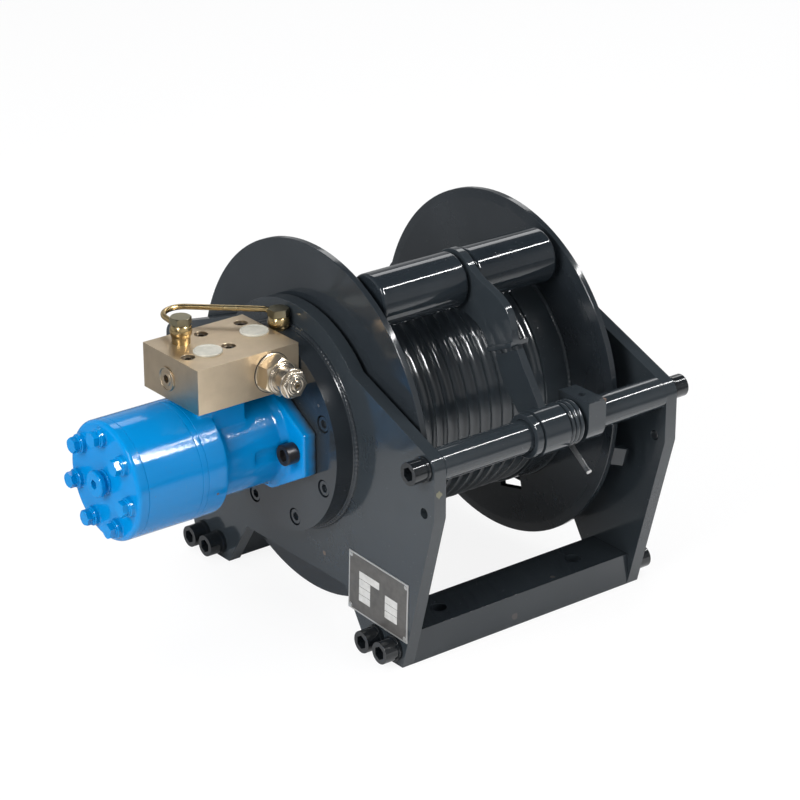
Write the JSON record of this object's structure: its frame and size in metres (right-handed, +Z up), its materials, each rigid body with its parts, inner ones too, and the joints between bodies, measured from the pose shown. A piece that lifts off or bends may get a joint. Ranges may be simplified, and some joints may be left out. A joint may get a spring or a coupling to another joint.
{
  "type": "hydraulic winch",
  "caption": "Hydraulic winch: grooved cable drum between two steel side plates on base beams, driven by a hydraulic motor with valve block, with a sprung rope presser.",
  "frame": {"origin": "centre of the base bolt pattern, on the mounting plane under the two base beams", "axes": "+Z up; +X along the drum axis from the motor end to the far end; the front with the tie rod is at -Y"},
  "size_m": [0.5895, 0.4837, 0.4004],
  "materials": {
    "dark_paint": "glossy dark blue-grey paint",
    "roller_paint": "glossy dark blue-grey paint, smooth",
    "painted_screws": "dark painted steel screws",
    "motor_paint": "glossy blue paint",
    "black_screws": "black oxide steel",
    "plate_sheet": "satin sheet, dark printed field",
    "bare_steel": "ground steel",
    "nickel_block": "satin warm nickel plating",
    "bright_plating": "bright plating",
    "cap_white": "pale plastic caps",
    "zinc_yellow": "yellow zinc plating"
  },
  "bodies": {
    "frame": {"left_side_plate": "dark_paint", "right_side_plate": "dark_paint", "front_beam": "dark_paint", "rear_beam": "dark_paint", "tie_rod": "dark_paint", "thrust_ring": "dark_paint", "spring_collar": "dark_paint", "presser_spring": "dark_paint", "brake_housing": "dark_paint", "bearing_housing": "dark_paint", "tie_rod_bolts": "painted_screws", "left_foot_bolts": "painted_screws", "right_foot_bolts": "painted_screws", "cover_screws": "painted_screws", "bearing_screws": "painted_screws", "motor_housing": "motor_paint", "motor_spacer": "motor_paint", "motor_gear_ring": "motor_paint", "motor_end_cover": "motor_paint", "motor_end_bolts": "motor_paint", "motor_plug": "motor_paint", "motor_flange_bolts": "black_screws", "collar_screw": "black_screws", "valve_screws": "black_screws", "nameplate": "plate_sheet", "valve_block": "nickel_block", "block_plug": "nickel_block", "valve_cartridge": "bright_plating", "port_caps": "cap_white", "block_fitting": "zinc_yellow", "brake_fitting": "zinc_yellow", "brake_pipe": "zinc_yellow"},
    "drum": {"drum_barrel": "dark_paint", "left_flange": "dark_paint", "right_flange": "dark_paint", "rope_anchor": "dark_paint"},
    "presser": {"arm_base": "dark_paint", "presser_arm": "dark_paint", "roller_shaft": "bare_steel"},
    "roller_left": {"left_roller": "roller_paint"},
    "roller_right": {"right_roller": "roller_paint"}
  },
  "joints": [
    {"name": "drum_spin", "type": "hinge", "parent": "frame", "child": "drum", "pos_m": [0, 0, 0.208], "axis": [1, 0, 0], "continuous": true},
    {"name": "presser_swing", "type": "hinge", "parent": "frame", "child": "presser", "pos_m": [0, -0.218, 0.235], "axis": [1, 0, 0], "range_deg": [0, 35], "stiffness_Nm_per_rad": 15, "springref_deg": -34.38},
    {"name": "left_roller_spin", "type": "hinge", "parent": "presser", "child": "roller_left", "pos_m": [-0.07, -0.082, 0.359], "axis": [1, 0, 0], "continuous": true},
    {"name": "right_roller_spin", "type": "hinge", "parent": "presser", "child": "roller_right", "pos_m": [0.05, -0.082, 0.359], "axis": [1, 0, 0], "continuous": true}
  ]
}
